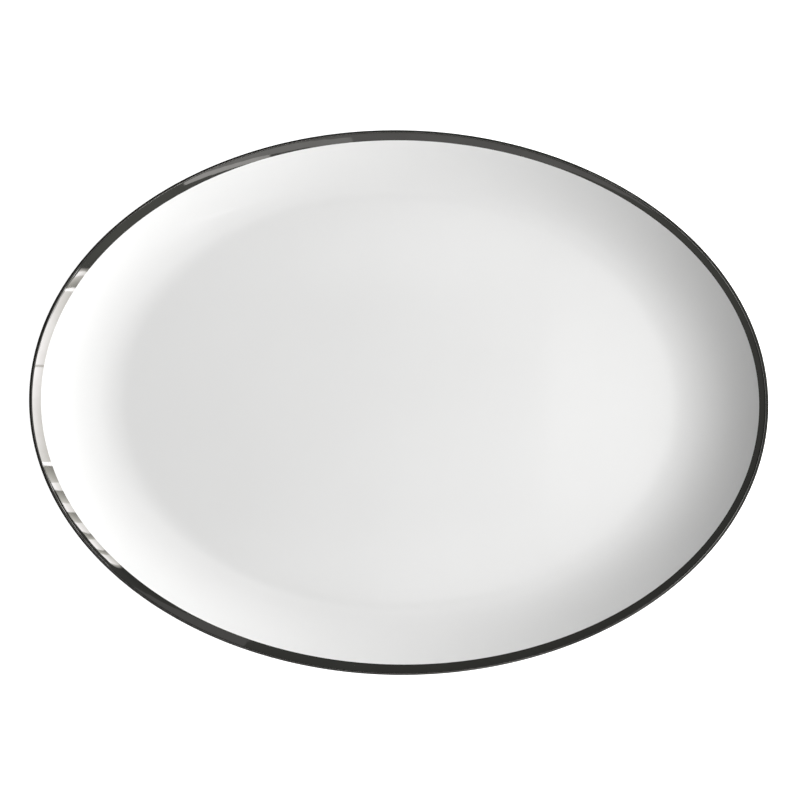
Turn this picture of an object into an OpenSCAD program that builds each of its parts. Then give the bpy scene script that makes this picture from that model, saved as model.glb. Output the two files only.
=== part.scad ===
// Oval coupe serving platter in fine white china with a platinum rim band.
// Origin: centre of the oval, on the table plane. +X runs along the length, +Z is up.
// Each layer is one section in the XZ plane, turned about Z and pressed in along Y to an oval.

/* [Outline] */
// Overall length, along X
length = 381; // [320:1:420]
// Overall width, along Y
width = 279; // [240:1:300]
// Overall height, from the table to the top of the lip
height = 25.4; // [24:0.1:28]

/* [Well and wall] */
// Share of the half length that the flat floor of the well takes
well_share = 0.743; // [0.72:0.001:0.77]
// Slope where the knuckle, the lower arc of the wall, runs into the flare above it, in degrees
knuckle_slope = 27; // [24:0.5:28]
// Slope where the flare runs into the lip, in degrees
lip_slope = 36; // [34:0.5:38]
// Thickness of the china in the well
well_t = 4.8; // [4:0.1:6]
// Thickness of the china at the lip
lip_t = 2.5; // [2:0.1:3.5]

/* [Foot ring] */
// Height of the recess inside the foot ring
foot_h = 4; // [3.5:0.1:4.5]
// Distance from the start of the wall in to the outer flank of the foot
foot_inset = 4.8; // [3:0.2:10]
// Width of the foot ring at the long ends, over the glaze
foot_w = 5.6; // [4.5:0.1:8]
// Radius of the fillets between the foot and the base
foot_fillet = 1.8; // [1:0.1:2]
// Radius of the rounded bottom corners of the foot
foot_corner = 0.9; // [0.6:0.1:1]
// Depth that is ground off the foot, which leaves its flat standing face
ground_off = 0.1; // [0.05:0.05:0.2]
// Height of the bare china above the table, up to the edge of the glaze
dry_h = 1; // [0.9:0.1:1.2]

/* [Glaze and platinum] */
// Thickness of the glaze
glaze_t = 0.25; // [0.2:0.05:0.4]
// Thickness of the platinum band
band_t = 0.15; // [0.1:0.05:0.3]
// Width of the band seen from above, at the long ends
band_end_w = 5.2; // [4:0.1:8]
// Width of the band seen from above, at the long sides
band_side_w = 5.0; // [4:0.1:6]
// How far the band wraps down round the outside of the lip, in degrees below level
band_wrap = 30; // [0:5:45]

/* [Backstamp] */
// Diameter of the round mark under the base
stamp_d = 26; // [18:1:40]
// Width of its ring
stamp_line = 0.8; // [0.5:0.1:1.5]
// Number of petals in its rosette
petals = 6; // [4:1:10]
// Thickness of the fired enamel
stamp_t = 0.1; // [0.1:0.05:0.2]

/* [Hidden] */

china_white = [0.93, 0.93, 0.92];
bisque_white = [0.86, 0.85, 0.82];
platinum_grey = [0.62, 0.61, 0.59];
enamel_grey = [0.35, 0.36, 0.38];

wall_steps = 8;    // flats along the knuckle, and along the wall above it
bead_steps = 6;    // flats along each half of the lip, and along each fillet and corner
oval = width / length;

// The glazed outline lies one band thickness inside the overall size.
rim_x = length / 2 - band_t;
rim_top = height - band_t;
lip_r = lip_t / 2;
lip_centre = [rim_x - lip_r, rim_top - lip_r];
floor_z = foot_h + well_t;
base_z = foot_h + glaze_t;
well_x = well_share * length / 2;
foot_out_x = well_x - foot_inset;
foot_in_x = foot_out_x - foot_w;
band_reach = band_end_w + 3;

// The radii of knuckle and flare are solved so that the two arcs climb from the floor to the lip.
// knuckle_turn and flare_turn are the run and the rise of each arc at a radius of one.
wall_run = lip_centre.x - well_x;
wall_rise = lip_centre.y + lip_r - floor_z;
knuckle_turn = [sin(knuckle_slope), 1 - cos(knuckle_slope)];
flare_turn = [sin(lip_slope), 1 - cos(lip_slope)] - knuckle_turn;
turns = cross(knuckle_turn, flare_turn);
knuckle_r = cross([wall_run, wall_rise], flare_turn) / turns - lip_r;
flare_r = cross(knuckle_turn, [wall_run, wall_rise]) / turns - lip_r;
knuckle_centre = [well_x, floor_z + knuckle_r];
flare_centre = knuckle_centre + (flare_r - knuckle_r) * [-sin(knuckle_slope), cos(knuckle_slope)];
band_slope = asin((rim_x - band_reach - flare_centre.x) / flare_r);

// A point of a section is [x, z, direction of the outward normal in degrees].
// turned_in is 180 on a hollow arc, whose normals point at its centre.
function arc(centre, r, from, to, steps, turned_in = 0) =
    [for (i = [0:steps])
        let (a = from + (to - from) * i / steps)
        [centre.x + r * cos(a), centre.y + r * sin(a), a + turned_in]];

// Two paths that share an end point, as one.
function chain(a, b) = concat(a, [for (i = [1:len(b) - 1]) b[i]]);

function below(points, depth) =
    [for (p = points) [p.x - depth * cos(p.z), p.y - depth * sin(p.z)]];

function reversed(list) = [for (i = [len(list) - 1:-1:0]) list[i]];

knuckle = arc(knuckle_centre, knuckle_r, -90, knuckle_slope - 90, wall_steps, 180);
flare = arc(flare_centre, flare_r, knuckle_slope - 90, band_slope - 90, wall_steps, 180);
band_face = arc(flare_centre, flare_r, band_slope - 90, lip_slope - 90, wall_steps, 180);
lip_upper = arc(lip_centre, lip_r, 90 + lip_slope, -band_wrap, bead_steps);
lip_lower = arc(lip_centre, lip_r, -band_wrap, lip_slope - 90, bead_steps);

wall = chain(chain(knuckle, flare), band_face);
lip = chain(lip_upper, lip_lower);
face = concat([[0, floor_z, 90]], wall);

// Thickness of the piece under a point of the wall: it eases from well_t to lip_t.
function ease(u) = u * u * (3 - 2 * u);
function wall_t(x) =
    well_t + (lip_t - well_t) * ease((x - well_x) / (wall[len(wall) - 1].x - well_x));

back = reversed([for (p = wall)
    let (t = wall_t(p.x))
    [p.x - t * cos(p.z), p.y - t * sin(p.z), p.z - 180]]);
outside = chain(chain(face, lip), back);

// The glazed flanks of the foot, from the base down to the edge of the glaze.
outer_flank = concat(
    arc([foot_out_x + foot_fillet, foot_h - foot_fillet], foot_fillet, 90, 180, bead_steps, 180),
    [[foot_out_x, dry_h, 360]]);
inner_flank = concat(
    arc([foot_in_x - foot_fillet, foot_h - foot_fillet], foot_fillet, 90, 0, bead_steps, 180),
    [[foot_in_x, dry_h, 180]]);

// A closed skin between a path and the same path t lower.
module skin(path, t) {
    polygon(concat(below(path, 0), reversed(below(path, t))));
}

// The section turned about Z in four quarters and pressed in along Y.
module oval_turn(share = oval) {
    scale([1, share, 1])
        for (x = [0, 1], y = [0, 1])
            mirror([x, 0, 0])
                mirror([0, y, 0])
                    rotate_extrude(angle = 90, $fn = 180)
                        children();
}

// The flat bowl of china: well, wall and lip.
module china_body() {
    color(china_white)
        oval_turn()
            polygon(concat(below(outside, glaze_t), [[0, base_z]]));
}

// The standing ring: glazed flanks, rounded corners and a bare ground face on the table plane.
module foot_ring() {
    corner_z = foot_corner - ground_off;
    out_x = foot_out_x - glaze_t - foot_corner;
    in_x = foot_in_x + glaze_t + foot_corner;
    color(bisque_white)
        difference() {
            oval_turn()
                polygon(concat(
                    below(outer_flank, glaze_t),
                    below(arc([out_x, corner_z], foot_corner, 0, -90, bead_steps), 0),
                    below(arc([in_x, corner_z], foot_corner, -90, -180, bead_steps), 0),
                    reversed(below(inner_flank, glaze_t))));
            translate([-length / 2, -width / 2, -foot_h])
                cube([length, width, foot_h]);
        }
}

// One coat over the face, the lip, the back and the outer flank of the foot.
module glaze_coat() {
    color(china_white)
        oval_turn()
            skin(concat(outside, outer_flank), glaze_t);
}

// The coat inside the foot ring.
module base_glaze() {
    color(china_white)
        oval_turn()
            skin(concat([[0, foot_h, 270]], inner_flank), glaze_t);
}

// Platinum over the glaze. Its inner edge is an oval with its own proportions.
module platinum_band() {
    inner_x = length / 2 - band_end_w;
    inner_y = width / 2 - band_side_w;
    color(platinum_grey)
        difference() {
            oval_turn()
                skin(chain(band_face, lip_upper), -band_t);
            oval_turn(inner_y / inner_x)
                translate([inner_x / 2, 0])
                    square([inner_x / 2, height + 1]);
        }
}

// A leaf shape of the given length, along X from the origin.
module petal(petal_l) {
    bow_r = petal_l * 0.72;
    intersection_for (side = [-1, 1])
        translate([petal_l / 2, side * sqrt(bow_r * bow_r - petal_l * petal_l / 4)])
            circle(r = bow_r, $fn = 90);
}

// A plain rosette in a ring, in enamel on the base glaze.
module backstamp() {
    ring_in_r = stamp_d / 2 - stamp_line;
    bud_r = stamp_d * 0.05;
    color(enamel_grey)
        translate([0, 0, foot_h - stamp_t])
            linear_extrude(stamp_t) {
                difference() {
                    circle(d = stamp_d, $fn = 90);
                    circle(r = ring_in_r, $fn = 90);
                }
                for (i = [0:petals - 1])
                    rotate(i * 360 / petals)
                        translate([bud_r * 2, 0])
                            petal(ring_in_r - bud_r * 3);
                circle(r = bud_r, $fn = 90);
            }
}

china_body();
foot_ring();
glaze_coat();
base_glaze();
platinum_band();
backstamp();
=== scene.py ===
"""Looks of the oval coupe platter: dense meshes, glaze and metal, studio light and camera.

Every piece is one section in the XZ plane, turned about Z and pressed in along Y to an oval,
as in the CAD model. Sizes are in metres, angles in degrees.
"""
import math

import bpy
from mathutils import Matrix, Vector


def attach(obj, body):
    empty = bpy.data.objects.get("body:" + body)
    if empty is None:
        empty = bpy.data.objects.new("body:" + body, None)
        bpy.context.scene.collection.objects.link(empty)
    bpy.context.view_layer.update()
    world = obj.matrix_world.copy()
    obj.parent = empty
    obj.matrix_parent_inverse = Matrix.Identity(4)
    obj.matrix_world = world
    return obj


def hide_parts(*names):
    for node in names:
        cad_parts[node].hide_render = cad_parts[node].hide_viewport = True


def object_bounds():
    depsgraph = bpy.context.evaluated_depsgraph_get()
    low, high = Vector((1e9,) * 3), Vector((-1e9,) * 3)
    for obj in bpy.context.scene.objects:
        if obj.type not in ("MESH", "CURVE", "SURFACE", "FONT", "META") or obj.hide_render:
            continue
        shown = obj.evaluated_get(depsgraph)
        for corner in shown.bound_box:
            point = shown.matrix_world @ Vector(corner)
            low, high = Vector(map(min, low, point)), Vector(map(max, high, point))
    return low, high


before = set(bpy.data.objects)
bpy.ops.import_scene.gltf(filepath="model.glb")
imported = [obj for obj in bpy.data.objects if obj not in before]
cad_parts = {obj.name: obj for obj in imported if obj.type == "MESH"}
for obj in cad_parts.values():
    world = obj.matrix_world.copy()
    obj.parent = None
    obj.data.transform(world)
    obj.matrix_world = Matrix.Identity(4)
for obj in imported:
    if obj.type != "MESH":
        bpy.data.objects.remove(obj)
cad_low, cad_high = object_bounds()

MM = 0.001

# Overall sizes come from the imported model, the section's from the same values as the CAD model.
LENGTH = cad_high.x - cad_low.x
WIDTH = cad_high.y - cad_low.y
HEIGHT = cad_high.z
OVAL = WIDTH / LENGTH
WELL_SHARE = 0.743
KNUCKLE_SLOPE = 27
LIP_SLOPE = 36
WELL_T = 4.8 * MM
LIP_T = 2.5 * MM
FOOT_H = 4 * MM
FOOT_INSET = 4.8 * MM
FOOT_W = 5.6 * MM
FOOT_FILLET = 1.8 * MM
FOOT_CORNER = 0.9 * MM
GROUND_OFF = 0.1 * MM
DRY_H = 1 * MM
GLAZE_T = 0.25 * MM
BAND_T = 0.15 * MM
BAND_FACE_T = 0.02 * MM
BAND_END_W = 5.2 * MM
BAND_SIDE_W = 5 * MM
BAND_DRIFT = 0.7 * MM
BAND_WRAP = 30

TURN_STEPS = 360
WALL_STEPS = 28
BEAD_STEPS = 14
FLOOR_STEPS = 14

RIM_X = LENGTH / 2 - BAND_T
LIP_R = LIP_T / 2
LIP_CENTRE = (RIM_X - LIP_R, HEIGHT - BAND_T - LIP_R)
FLOOR_Z = FOOT_H + WELL_T
WELL_X = WELL_SHARE * LENGTH / 2
FOOT_OUT_X = WELL_X - FOOT_INSET
FOOT_IN_X = FOOT_OUT_X - FOOT_W


# ---------------------------------------------------------------- sections

def sin(degrees):
    return math.sin(math.radians(degrees))


def cos(degrees):
    return math.cos(math.radians(degrees))


def arc(centre, radius, start, end, steps, turned_in=0):
    """Points (x, z, direction of the outward normal) of an arc. turned_in is 180 on a hollow one."""
    angles = [start + (end - start) * i / steps for i in range(steps + 1)]
    return [(centre[0] + radius * cos(a), centre[1] + radius * sin(a), a + turned_in) for a in angles]


def below(points, depth):
    return [(x - depth * cos(a), z - depth * sin(a), a) for x, z, a in points]


def solve_wall():
    """Radii of the wall's two arcs, knuckle and flare, which climb from the floor to the lip."""
    climb = Vector((LIP_CENTRE[0] - WELL_X, LIP_CENTRE[1] + LIP_R - FLOOR_Z))
    knuckle_turn = Vector((sin(KNUCKLE_SLOPE), 1 - cos(KNUCKLE_SLOPE)))
    flare_turn = Vector((sin(LIP_SLOPE), 1 - cos(LIP_SLOPE))) - knuckle_turn
    turns = knuckle_turn.cross(flare_turn)
    return climb.cross(flare_turn) / turns - LIP_R, knuckle_turn.cross(climb) / turns - LIP_R


KNUCKLE_R, FLARE_R = solve_wall()
KNUCKLE_CENTRE = (WELL_X, FLOOR_Z + KNUCKLE_R)
FLARE_CENTRE = (WELL_X - (FLARE_R - KNUCKLE_R) * sin(KNUCKLE_SLOPE),
                FLOOR_Z + KNUCKLE_R + (FLARE_R - KNUCKLE_R) * cos(KNUCKLE_SLOPE))

floor = [(WELL_X * i / FLOOR_STEPS, FLOOR_Z, 90) for i in range(FLOOR_STEPS)]
knuckle = arc(KNUCKLE_CENTRE, KNUCKLE_R, -90, KNUCKLE_SLOPE - 90, WALL_STEPS, 180)
flare = arc(FLARE_CENTRE, FLARE_R, KNUCKLE_SLOPE - 90, LIP_SLOPE - 90, WALL_STEPS, 180)
lip_upper = arc(LIP_CENTRE, LIP_R, 90 + LIP_SLOPE, -BAND_WRAP, BEAD_STEPS)
lip_lower = arc(LIP_CENTRE, LIP_R, -BAND_WRAP, LIP_SLOPE - 90, BEAD_STEPS)
wall = knuckle + flare[1:]


def wall_thickness(x):
    u = (x - WELL_X) / (wall[-1][0] - WELL_X)
    return WELL_T + (LIP_T - WELL_T) * u * u * (3 - 2 * u)


back = []
for x, z, a in reversed(wall):
    t = wall_thickness(x)
    back.append((x - t * cos(a), z - t * sin(a), a - 180))
outside = floor + wall + lip_upper[1:] + lip_lower[1:] + back[1:]

outer_flank = arc((FOOT_OUT_X + FOOT_FILLET, FOOT_H - FOOT_FILLET), FOOT_FILLET, 90, 180, BEAD_STEPS, 180)
outer_flank.append((FOOT_OUT_X, DRY_H, 360))
inner_flank = arc((FOOT_IN_X - FOOT_FILLET, FOOT_H - FOOT_FILLET), FOOT_FILLET, 90, 0, BEAD_STEPS, 180)
inner_flank.append((FOOT_IN_X, DRY_H, 180))


# ---------------------------------------------------------------- turned meshes

def turn(name, section_at):
    """A closed mesh of the loop that section_at(angle) gives, turned about Z and pressed to the oval.

    Loop points on the axis become one vertex. Edges between two of those have no faces.
    """
    first = section_at(0)
    count = len(first)
    on_axis = [abs(p[0]) < 1e-9 for p in first]
    verts, index = [], {}
    for j in range(TURN_STEPS):
        angle = 360 * j / TURN_STEPS
        for i, p in enumerate(section_at(angle)):
            if on_axis[i] and j > 0:
                index[i, j] = index[i, 0]
                continue
            index[i, j] = len(verts)
            verts.append((p[0] * cos(angle), p[0] * OVAL * sin(angle), p[1]))
    faces = []
    for j in range(TURN_STEPS):
        k = (j + 1) % TURN_STEPS
        for i in range(count):
            n = (i + 1) % count
            corners = [index[i, j], index[i, k], index[n, k], index[n, j]]
            unique = list(dict.fromkeys(corners))
            if len(unique) > 2:
                faces.append(unique)
    mesh = bpy.data.meshes.new(name)
    mesh.from_pydata(verts, [], faces)
    mesh.validate()
    mesh.polygons.foreach_set("use_smooth", [True] * len(mesh.polygons))
    piece = bpy.data.objects.new(name, mesh)
    bpy.context.scene.collection.objects.link(piece)
    return piece


def flip_to_outside(piece):
    """Turns all faces over if the closed mesh's signed volume is negative."""
    mesh = piece.data
    mesh.calc_loop_triangles()
    volume = 0
    for tri in mesh.loop_triangles:
        a, b, c = (mesh.vertices[v].co for v in tri.vertices)
        volume += a.dot(b.cross(c))
    if volume < 0:
        mesh.flip_normals()


def sharpen(piece, degrees):
    """Keeps edges sharper than this angle crisp, as at the ends of the glaze."""
    piece.data.set_sharp_from_angle(angle=math.radians(degrees))


def add_piece(name, section_at, node, material):
    piece = turn(name, section_at)
    flip_to_outside(piece)
    sharpen(piece, 50)
    piece.data.materials.append(material)
    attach(piece, "root")
    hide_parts(node)


def skin(path, thickness):
    loop = path + below(path, thickness)[::-1]
    return lambda angle: loop


# ---------------------------------------------------------------- materials

def new_material(name):
    material = bpy.data.materials.new(name)
    material.use_nodes = True
    nodes = material.node_tree.nodes
    nodes.clear()
    output = nodes.new("ShaderNodeOutputMaterial")
    shader = nodes.new("ShaderNodeBsdfPrincipled")
    material.node_tree.links.new(shader.outputs["BSDF"], output.inputs["Surface"])
    return material, material.node_tree, shader


def noise(tree, vector, scale, detail=2.0, roughness=0.5):
    node = tree.nodes.new("ShaderNodeTexNoise")
    node.inputs["Scale"].default_value = scale
    node.inputs["Detail"].default_value = detail
    node.inputs["Roughness"].default_value = roughness
    tree.links.new(vector, node.inputs["Vector"])
    return node.outputs["Fac"]


def bump(tree, height, distance, normal=None):
    node = tree.nodes.new("ShaderNodeBump")
    node.inputs["Distance"].default_value = distance
    tree.links.new(height, node.inputs["Height"])
    if normal is not None:
        tree.links.new(normal, node.inputs["Normal"])
    return node.outputs["Normal"]


def ramp(tree, factor, low, high):
    """Colours from low to high over the middle of the factor's range, where noise mostly lies."""
    node = tree.nodes.new("ShaderNodeValToRGB")
    node.color_ramp.elements[0].position = 0.3
    node.color_ramp.elements[0].color = (*low, 1)
    node.color_ramp.elements[1].position = 0.7
    node.color_ramp.elements[1].color = (*high, 1)
    tree.links.new(factor, node.inputs["Fac"])
    return node.outputs["Color"]


def remap(tree, factor, low, high):
    node = tree.nodes.new("ShaderNodeMapRange")
    node.inputs["To Min"].default_value = low
    node.inputs["To Max"].default_value = high
    tree.links.new(factor, node.inputs["Value"])
    return node.outputs["Result"]


def place(tree):
    return tree.nodes.new("ShaderNodeTexCoord").outputs["Object"]


def math_node(tree, operation, first, second):
    """A Math node on the first value. The second is a number or another node's output."""
    node = tree.nodes.new("ShaderNodeMath")
    node.operation = operation
    tree.links.new(first, node.inputs[0])
    if isinstance(second, (int, float)):
        node.inputs[1].default_value = second
    else:
        tree.links.new(second, node.inputs[1])
    return node.outputs["Value"]


def round_the_oval(tree, stretch):
    """A vector whose noise runs round the oval: X is the distance from the middle, as at the long ends."""
    pressed_out = tree.nodes.new("ShaderNodeVectorMath")
    pressed_out.operation = "MULTIPLY"
    pressed_out.inputs[1].default_value = (1, 1 / OVAL, 0)
    tree.links.new(place(tree), pressed_out.inputs[0])
    reach = tree.nodes.new("ShaderNodeVectorMath")
    reach.operation = "LENGTH"
    tree.links.new(pressed_out.outputs["Vector"], reach.inputs[0])
    slow = tree.nodes.new("ShaderNodeVectorMath")
    slow.operation = "MULTIPLY"
    slow.inputs[1].default_value = (1 / stretch, 1 / stretch, 0)
    tree.links.new(place(tree), slow.inputs[0])
    along = tree.nodes.new("ShaderNodeSeparateXYZ")
    tree.links.new(slow.outputs["Vector"], along.inputs["Vector"])
    vector = tree.nodes.new("ShaderNodeCombineXYZ")
    tree.links.new(reach.outputs["Value"], vector.inputs["X"])
    tree.links.new(along.outputs["X"], vector.inputs["Y"])
    tree.links.new(along.outputs["Y"], vector.inputs["Z"])
    return vector.outputs["Vector"]


def glaze_material(name):
    """White china under a clear gloss coat, with a slow ripple and a fine orange peel in the gloss."""
    material, tree, shader = new_material(name)
    spot = place(tree)
    tone = noise(tree, spot, 9, 3)
    colour = ramp(tree, tone, (0.845, 0.845, 0.838), (0.87, 0.87, 0.864))
    tree.links.new(colour, shader.inputs["Base Color"])
    shader.inputs["Roughness"].default_value = 0.42
    shader.inputs["Specular IOR Level"].default_value = 0.25
    shader.inputs["Coat Weight"].default_value = 1.0
    shader.inputs["Coat Roughness"].default_value = 0.035
    shader.inputs["Coat IOR"].default_value = 1.5
    ripple = bump(tree, noise(tree, spot, 38, 1), 0.02 * MM)
    peel = bump(tree, noise(tree, spot, 420, 2), 0.0035 * MM, ripple)
    tree.links.new(peel, shader.inputs["Coat Normal"])
    return material


def china_material():
    """Fired china without glaze: matt, slightly warm, with a fine grain."""
    material, tree, shader = new_material("bare_china")
    spot = place(tree)
    tone = noise(tree, spot, 600, 4, 0.7)
    colour = ramp(tree, tone, (0.70, 0.685, 0.65), (0.80, 0.79, 0.76))
    tree.links.new(colour, shader.inputs["Base Color"])
    shader.inputs["Roughness"].default_value = 0.85
    tree.links.new(bump(tree, noise(tree, spot, 2500, 3, 0.7), 0.03 * MM), shader.inputs["Normal"])
    return material


def platinum_material():
    """Fired platinum, mirror bright, with faint marks along the rim from the lining brush."""
    material, tree, shader = new_material("platinum")
    spot = place(tree)
    tone = noise(tree, spot, 60, 3)
    colour = ramp(tree, tone, (0.60, 0.585, 0.56), (0.66, 0.65, 0.625))
    tree.links.new(colour, shader.inputs["Base Color"])
    shader.inputs["Metallic"].default_value = 1.0
    tree.links.new(remap(tree, noise(tree, spot, 90, 4), 0.015, 0.04), shader.inputs["Roughness"])
    ripple = bump(tree, noise(tree, spot, 55, 2), 0.06 * MM)
    marks = bump(tree, noise(tree, round_the_oval(tree, 30), 1600, 2), 0.0015 * MM, ripple)
    tree.links.new(marks, shader.inputs["Normal"])
    return material


def enamel_material():
    material, tree, shader = new_material("enamel")
    spot = place(tree)
    tone = noise(tree, spot, 1500, 3, 0.7)
    colour = ramp(tree, tone, (0.17, 0.18, 0.20), (0.25, 0.26, 0.28))
    tree.links.new(colour, shader.inputs["Base Color"])
    shader.inputs["Roughness"].default_value = 0.3
    tree.links.new(bump(tree, noise(tree, spot, 1200, 2), 0.01 * MM), shader.inputs["Normal"])
    return material


glaze = glaze_material("glaze")
bare_china = china_material()
platinum = platinum_material()
enamel = enamel_material()


# ---------------------------------------------------------------- pieces

def make_body():
    loop = below(outside, GLAZE_T) + [(0, FOOT_H + GLAZE_T, 270)]
    add_piece("china_core", lambda angle: loop, "china_body", bare_china)


def make_foot():
    corner_z = FOOT_CORNER - GROUND_OFF
    out_x = FOOT_OUT_X - GLAZE_T - FOOT_CORNER
    in_x = FOOT_IN_X + GLAZE_T + FOOT_CORNER
    ground = math.degrees(math.acos(corner_z / FOOT_CORNER))
    loop = (below(outer_flank, GLAZE_T)
            + arc((out_x, corner_z), FOOT_CORNER, 0, ground - 90, BEAD_STEPS)
            + arc((in_x, corner_z), FOOT_CORNER, -90 - ground, -180, BEAD_STEPS)
            + below(inner_flank, GLAZE_T)[::-1])
    add_piece("standing_ring", lambda angle: loop, "foot_ring", bare_china)


def band_section(angle):
    """The band from its inner edge, which follows its own oval, up the wall and round the lip.

    It is a thin film on the wall and swells to its full thickness over the top of the lip.
    """
    inner_x = LENGTH / 2 - BAND_END_W
    inner_y = WIDTH / 2 - BAND_SIDE_W
    start_x = 1 / math.hypot(cos(angle) / inner_x, OVAL * sin(angle) / inner_y)
    start_x += BAND_DRIFT * cos(angle)
    start_slope = math.degrees(math.asin((start_x - FLARE_CENTRE[0]) / FLARE_R))
    face = arc(FLARE_CENTRE, FLARE_R, start_slope - 90, LIP_SLOPE - 90, WALL_STEPS, 180)
    path = face + lip_upper[1:]
    top = below(face, -BAND_FACE_T)
    for i, point in enumerate(lip_upper[1:], 1):
        swell = min(1, 2 * i / BEAD_STEPS)
        top += below([point], -BAND_FACE_T - (BAND_T - BAND_FACE_T) * swell)
    return top + path[::-1]


make_body()
make_foot()
add_piece("glaze_outer", skin(outside + outer_flank, GLAZE_T), "glaze_coat", glaze)
base_path = [(0, FOOT_H, 270)] + inner_flank
add_piece("glaze_base", skin(base_path, GLAZE_T), "base_glaze", glaze)
add_piece("platinum_rim", band_section, "platinum_band", platinum)

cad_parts["backstamp"].material_slots[0].material = enamel


# ---------------------------------------------------------------- stage and light

def stage_plane(name, size, centre, facing):
    mesh = bpy.data.meshes.new(name)
    w, h = size[0] / 2, size[1] / 2
    mesh.from_pydata([(-w, -h, 0), (w, -h, 0), (w, h, 0), (-w, h, 0)], [], [(0, 1, 2, 3)])
    plane = bpy.data.objects.new(name, mesh)
    plane.location = centre
    plane.rotation_euler = Vector(facing).to_track_quat("Z", "Y").to_euler()
    bpy.context.scene.collection.objects.link(plane)
    return plane


def emission_material(name, colour, strength):
    material = bpy.data.materials.new(name)
    material.use_nodes = True
    nodes = material.node_tree.nodes
    nodes.clear()
    output = nodes.new("ShaderNodeOutputMaterial")
    glow = nodes.new("ShaderNodeEmission")
    glow.inputs["Color"].default_value = (*colour, 1)
    glow.inputs["Strength"].default_value = strength
    material.node_tree.links.new(glow.outputs["Emission"], output.inputs["Surface"])
    return material


TABLE_GLOW = 0.82


def make_table():
    """A white table top. It glows for the camera only, enough to stay white round a soft shadow."""
    table = stage_plane("table_top", (14, 14), (0, 0, -0.0002), (0, 0, 1))
    material, tree, shader = new_material("table_white")
    shader.inputs["Base Color"].default_value = (0.8, 0.8, 0.8, 1)
    shader.inputs["Roughness"].default_value = 0.9
    shader.inputs["Specular IOR Level"].default_value = 0.0
    shader.inputs["Emission Color"].default_value = (1, 1, 1, 1)
    camera_ray = tree.nodes.new("ShaderNodeLightPath").outputs["Is Camera Ray"]
    glow = math_node(tree, "MULTIPLY", camera_ray, TABLE_GLOW)
    tree.links.new(glow, shader.inputs["Emission Strength"])
    table.data.materials.append(material)
    table.visible_glossy = False


def seen_in_gloss_only(card):
    card.visible_camera = False
    card.visible_diffuse = False
    card.visible_transmission = False
    card.visible_volume_scatter = False
    card.visible_shadow = False


def area_light(name, centre, facing, size, power):
    """A soft light that shades the china but isn't seen in the gloss or the metal."""
    data = bpy.data.lights.new(name, "AREA")
    data.shape = "RECTANGLE"
    data.size, data.size_y = size
    data.energy = power
    light = bpy.data.objects.new(name, data)
    light.location = centre
    light.rotation_mode = "QUATERNION"
    light.rotation_quaternion = Vector(facing).to_track_quat("-Z", "Y")
    bpy.context.scene.collection.objects.link(light)
    light.visible_glossy = False
    light.visible_camera = False


def gloss_card(name, azimuth, elevation, distance, size, strength):
    """A glowing card, seen only in the gloss and the metal. Azimuth 0 is +X and 90 is +Y."""
    level = cos(elevation)
    centre = distance * Vector((level * cos(azimuth), level * sin(azimuth), sin(elevation)))
    card = stage_plane(name, size, centre, -centre)
    card.data.materials.append(emission_material(name, (1, 1, 1), strength))
    seen_in_gloss_only(card)


def fading_material(name, strength, fade):
    """A glow that fades out towards the edges of a card. fade is the share of the width it takes."""
    material = emission_material(name, (1, 1, 1), strength)
    tree = material.node_tree
    across = tree.nodes.new("ShaderNodeSeparateXYZ")
    tree.links.new(tree.nodes.new("ShaderNodeTexCoord").outputs["Generated"], across.inputs["Vector"])
    level = strength
    for axis in "XY":
        offset = math_node(tree, "SUBTRACT", across.outputs[axis], 0.5)
        from_middle = math_node(tree, "ABSOLUTE", offset, 0)
        edge = tree.nodes.new("ShaderNodeMapRange")
        edge.interpolation_type = "SMOOTHSTEP"
        edge.inputs["From Min"].default_value = 0.5
        edge.inputs["From Max"].default_value = 0.5 - fade
        tree.links.new(from_middle, edge.inputs["Value"])
        level = math_node(tree, "MULTIPLY", edge.outputs["Result"], level)
    tree.links.new(level, tree.nodes["Emission"].inputs["Strength"])
    return material


CEILING_Z = 1.84


def ceiling_card(name, centre, size, turned, strength, fade):
    """A soft-edged card on the ceiling, for the gloss alone. turned is its angle about Z."""
    card = stage_plane(name, size, (*centre, CEILING_Z), (0, 0, -1))
    card.rotation_euler = (math.pi, 0, math.radians(turned))
    card.data.materials.append(fading_material(name, strength, fade))
    seen_in_gloss_only(card)


# The window that the metal mirrors: two panes with a bar between them, a slit of open daylight
# beyond each pane, and then the folds of a drawn-back curtain. All lie side by side along Y.
WINDOW_MIDDLE = -0.13
BAR_W = 0.006
BAR_GLOW = 0.65
PANE_W = 0.21
PANE_GLOW = 1.1
PANE_END_GLOW = 0.8
SLIT_W = 0.008
SLIT_GLOW = 1.5
FOLD_W = 0.06
# Folds of curtain on the +Y and on the -Y side. Each has more of its width in the light.
FOLDS = {1: 5, -1: 1}
FIRST_LIT_SHARE = 0.3
MORE_LIT = 0.1
SHADE_GLOW = 0.3
SHADE_END_GLOW = 0.65
LIT_GLOW = 1.05
LAST_W = 0.02
WINDOW_GLOW = 1.45
WINDOW_X = 0.2
WINDOW_LOW = 0.320
WINDOW_HIGH = 0.43
WINDOW_SILL_RISE = 0.14    # the sill climbs by this much of the way along +Y
WINDOW_FADE = 0.5          # share of the glow lost from the sill to the top
WINDOW_BOW = 0.05          # how far the stretches draw in towards the sill
WINDOW_ROWS = 12


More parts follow.
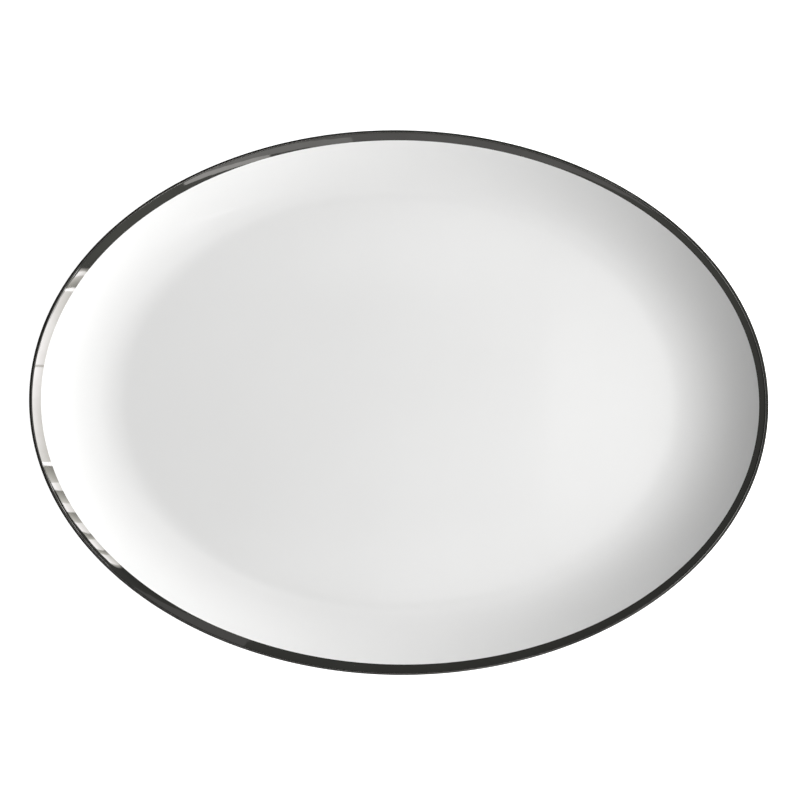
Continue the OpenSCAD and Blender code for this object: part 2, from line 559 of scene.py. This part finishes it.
def window_stretches(side):
    """The window from its middle outwards to one side, as (start, end, glow at start, glow at end)."""
    parts = [(BAR_W / 2, BAR_GLOW, BAR_GLOW),
             (PANE_W, PANE_GLOW, PANE_END_GLOW),
             (SLIT_W, SLIT_GLOW, SLIT_GLOW)]
    for fold in range(FOLDS[side]):
        lit_share = FIRST_LIT_SHARE + MORE_LIT * fold
        parts.append(((1 - lit_share) * FOLD_W, SHADE_GLOW, SHADE_END_GLOW))
        parts.append((lit_share * FOLD_W, LIT_GLOW, LIT_GLOW))
    parts.append((LAST_W, SHADE_END_GLOW, 0))
    near = 0
    stretches = []
    for wide, near_glow, far_glow in parts:
        far = near + wide
        ends = (WINDOW_MIDDLE + side * near, WINDOW_MIDDLE + side * far)
        stretches.append((*ends, near_glow, far_glow))
        near = far
    return stretches


def window_tint(glow, height):
    """Bright parts are white and dark parts a greenish grey. Both fade from the sill upwards."""
    glow *= 1 - WINDOW_FADE * height
    return (glow, glow * 0.99, glow * (0.88 + 0.14 * min(glow, 1)), 1)


def window_card():
    """The window as a strip that the band mirrors, close enough that only the far rim sees it."""
    verts, faces, glows = [], [], []
    for y0, y1, glow0, glow1 in window_stretches(-1) + window_stretches(1):
        for row in range(WINDOW_ROWS + 1):
            w = row / WINDOW_ROWS
            inwards = 1 - WINDOW_BOW * (1 - w) ** 2
            for y, glow in ((y0, glow0), (y1, glow1)):
                sill = WINDOW_LOW + WINDOW_SILL_RISE * max(0, y)
                verts.append((WINDOW_X, y * inwards, sill + w * (WINDOW_HIGH - sill)))
                glows.extend(window_tint(glow, w))
            if row > 0:
                n = len(verts)
                faces.append((n - 4, n - 3, n - 1, n - 2))
    mesh = bpy.data.meshes.new("window_view")
    mesh.from_pydata(verts, [], faces)
    attribute = mesh.color_attributes.new("glow", "FLOAT_COLOR", "POINT")
    attribute.data.foreach_set("color", glows)
    card = bpy.data.objects.new("window_view", mesh)
    bpy.context.scene.collection.objects.link(card)
    material = emission_material("window_view", (1, 1, 1), WINDOW_GLOW)
    tree = material.node_tree
    glow = tree.nodes.new("ShaderNodeAttribute")
    glow.attribute_name = "glow"
    tree.links.new(glow.outputs["Color"], tree.nodes["Emission"].inputs["Color"])
    mesh.materials.append(material)
    seen_in_gloss_only(card)


BACKDROP_GLOW = 1.1
# The fill's strength is FILL plus the direction times FILL_LEAN. The room leans likewise.
FILL = 1.13
FILL_LEAN = (0.92, -0.04, -0.77)
ROOM_COLOUR = (0.98, 1, 0.95)
ROOM_GLOW = 0.07
ROOM_LEAN = (0.02, -0.02, 0.0)
# The room dims from ROOM_GLOW to CEILING_GLOW between these heights above the horizon, in degrees.
DIM_FROM = 26
DIM_TO = 45
CEILING_GLOW = 0.02


def make_world():
    """White to the camera, a leaning soft fill to the china, a dark room to the gloss and the metal."""
    world = bpy.data.worlds.new("studio")
    bpy.context.scene.world = world
    world.use_nodes = True
    tree = world.node_tree
    tree.nodes.clear()
    output = tree.nodes.new("ShaderNodeOutputWorld")
    rays = tree.nodes.new("ShaderNodeLightPath")
    way = tree.nodes.new("ShaderNodeTexCoord").outputs["Generated"]

    def background(colour, strength):
        node = tree.nodes.new("ShaderNodeBackground")
        node.inputs["Color"].default_value = (*colour, 1)
        node.inputs["Strength"].default_value = strength
        return node

    def choose(factor, otherwise, then):
        node = tree.nodes.new("ShaderNodeMixShader")
        tree.links.new(factor, node.inputs["Fac"])
        tree.links.new(otherwise.outputs[0], node.inputs[1])
        tree.links.new(then.outputs[0], node.inputs[2])
        return node

    def lean(vector):
        node = tree.nodes.new("ShaderNodeVectorMath")
        node.operation = "DOT_PRODUCT"
        node.inputs[1].default_value = vector
        tree.links.new(way, node.inputs[0])
        return node.outputs["Value"]

    fill = background((1, 1, 1), FILL)
    total = math_node(tree, "ADD", lean(FILL_LEAN), FILL)
    tree.links.new(math_node(tree, "MAXIMUM", total, 0), fill.inputs["Strength"])

    room = background(ROOM_COLOUR, ROOM_GLOW)
    height = tree.nodes.new("ShaderNodeSeparateXYZ")
    tree.links.new(way, height.inputs["Vector"])
    dim = tree.nodes.new("ShaderNodeMapRange")
    dim.inputs["From Min"].default_value = sin(DIM_FROM)
    dim.inputs["From Max"].default_value = sin(DIM_TO)
    dim.inputs["To Min"].default_value = ROOM_GLOW
    dim.inputs["To Max"].default_value = CEILING_GLOW
    tree.links.new(height.outputs["Z"], dim.inputs["Value"])
    sideways = math_node(tree, "ADD", lean(ROOM_LEAN), dim.outputs["Result"])
    tree.links.new(sideways, room.inputs["Strength"])

    white = background((1, 1, 1), BACKDROP_GLOW)
    seen = choose(rays.outputs["Is Glossy Ray"], fill, room)
    seen = choose(rays.outputs["Is Camera Ray"], seen, white)
    tree.links.new(seen.outputs["Shader"], output.inputs["Surface"])


KEY_POWER = 6.44
END_GLOW = 0.5
SIDE_GLOW = 0.73
# A soft rail of light crosses the ceiling aslant, with dimmer ones beside it:
# (distance from the middle one, width, share of RAIL_GLOW).
RAILS = [(0.0, 0.07, 1.0), (0.14, 0.05, 0.6), (0.26, 0.04, 0.5), (-0.13, 0.04, 0.5)]
RAIL_GLOW = 2.0
RAIL_LENGTH = 1.05
RAIL_FADE = 0.3
RAIL_TURN = -50.7
RAIL_X = 0.08
RAIL_Y = -1.25


def ceiling_rails():
    for shift, width, share in RAILS:
        centre = (RAIL_X + shift * sin(RAIL_TURN), RAIL_Y - shift * cos(RAIL_TURN))
        ceiling_card("ceiling_rail", centre, (RAIL_LENGTH, width), RAIL_TURN, RAIL_GLOW * share, RAIL_FADE)


make_table()
make_world()
area_light("key", (0.63, -0.045, 0.345), (-1, 0, 0), (1.03, 0.51), KEY_POWER)
window_card()
gloss_card("far_wall", -98, 6, 2.0, (2.2, 0.42), 0.13)
gloss_card("far_lamp", -84, 15.5, 1.9, (0.32, 0.12), 0.42)
gloss_card("far_shelf", -88, 11, 1.95, (0.55, 0.20), 0.22)
gloss_card("side_door", 68, 25, 2.0, (0.95, 0.36), 0.10)
ceiling_card("ceiling_end", (0.12, -0.165), (0.32, 0.50), 0, END_GLOW, 0.08)
ceiling_card("ceiling_back", (-0.27, 0.10), (0.95, 0.26), 0, SIDE_GLOW, 0.45)
ceiling_card("ceiling_front", (-0.27, -0.44), (0.95, 0.26), 0, SIDE_GLOW, 0.45)
ceiling_rails()


# ---------------------------------------------------------------- camera

def make_camera():
    """Almost straight above, leaning a little towards +X and +Y, as a hand-held shot is."""
    distance, lean_x, lean_y, roll = 0.9101, 8, 4.8, 0.65
    target = Vector((5.6 * MM, 2.75 * MM, 20 * MM))
    away = Vector((math.tan(math.radians(lean_x)), math.tan(math.radians(lean_y)), 1)).normalized()
    up = Vector((sin(roll), cos(roll), 0))
    side = up.cross(away).normalized()
    data = bpy.data.cameras.new("camera")
    data.lens = 80
    data.sensor_width = 36
    camera = bpy.data.objects.new("camera", data)
    turn_to = Matrix((side, away.cross(side), away)).transposed()
    camera.matrix_world = Matrix.Translation(target + away * distance) @ turn_to.to_4x4()
    bpy.context.scene.collection.objects.link(camera)
    bpy.context.scene.camera = camera


make_camera()
bpy.context.scene.view_settings.view_transform = "Standard"
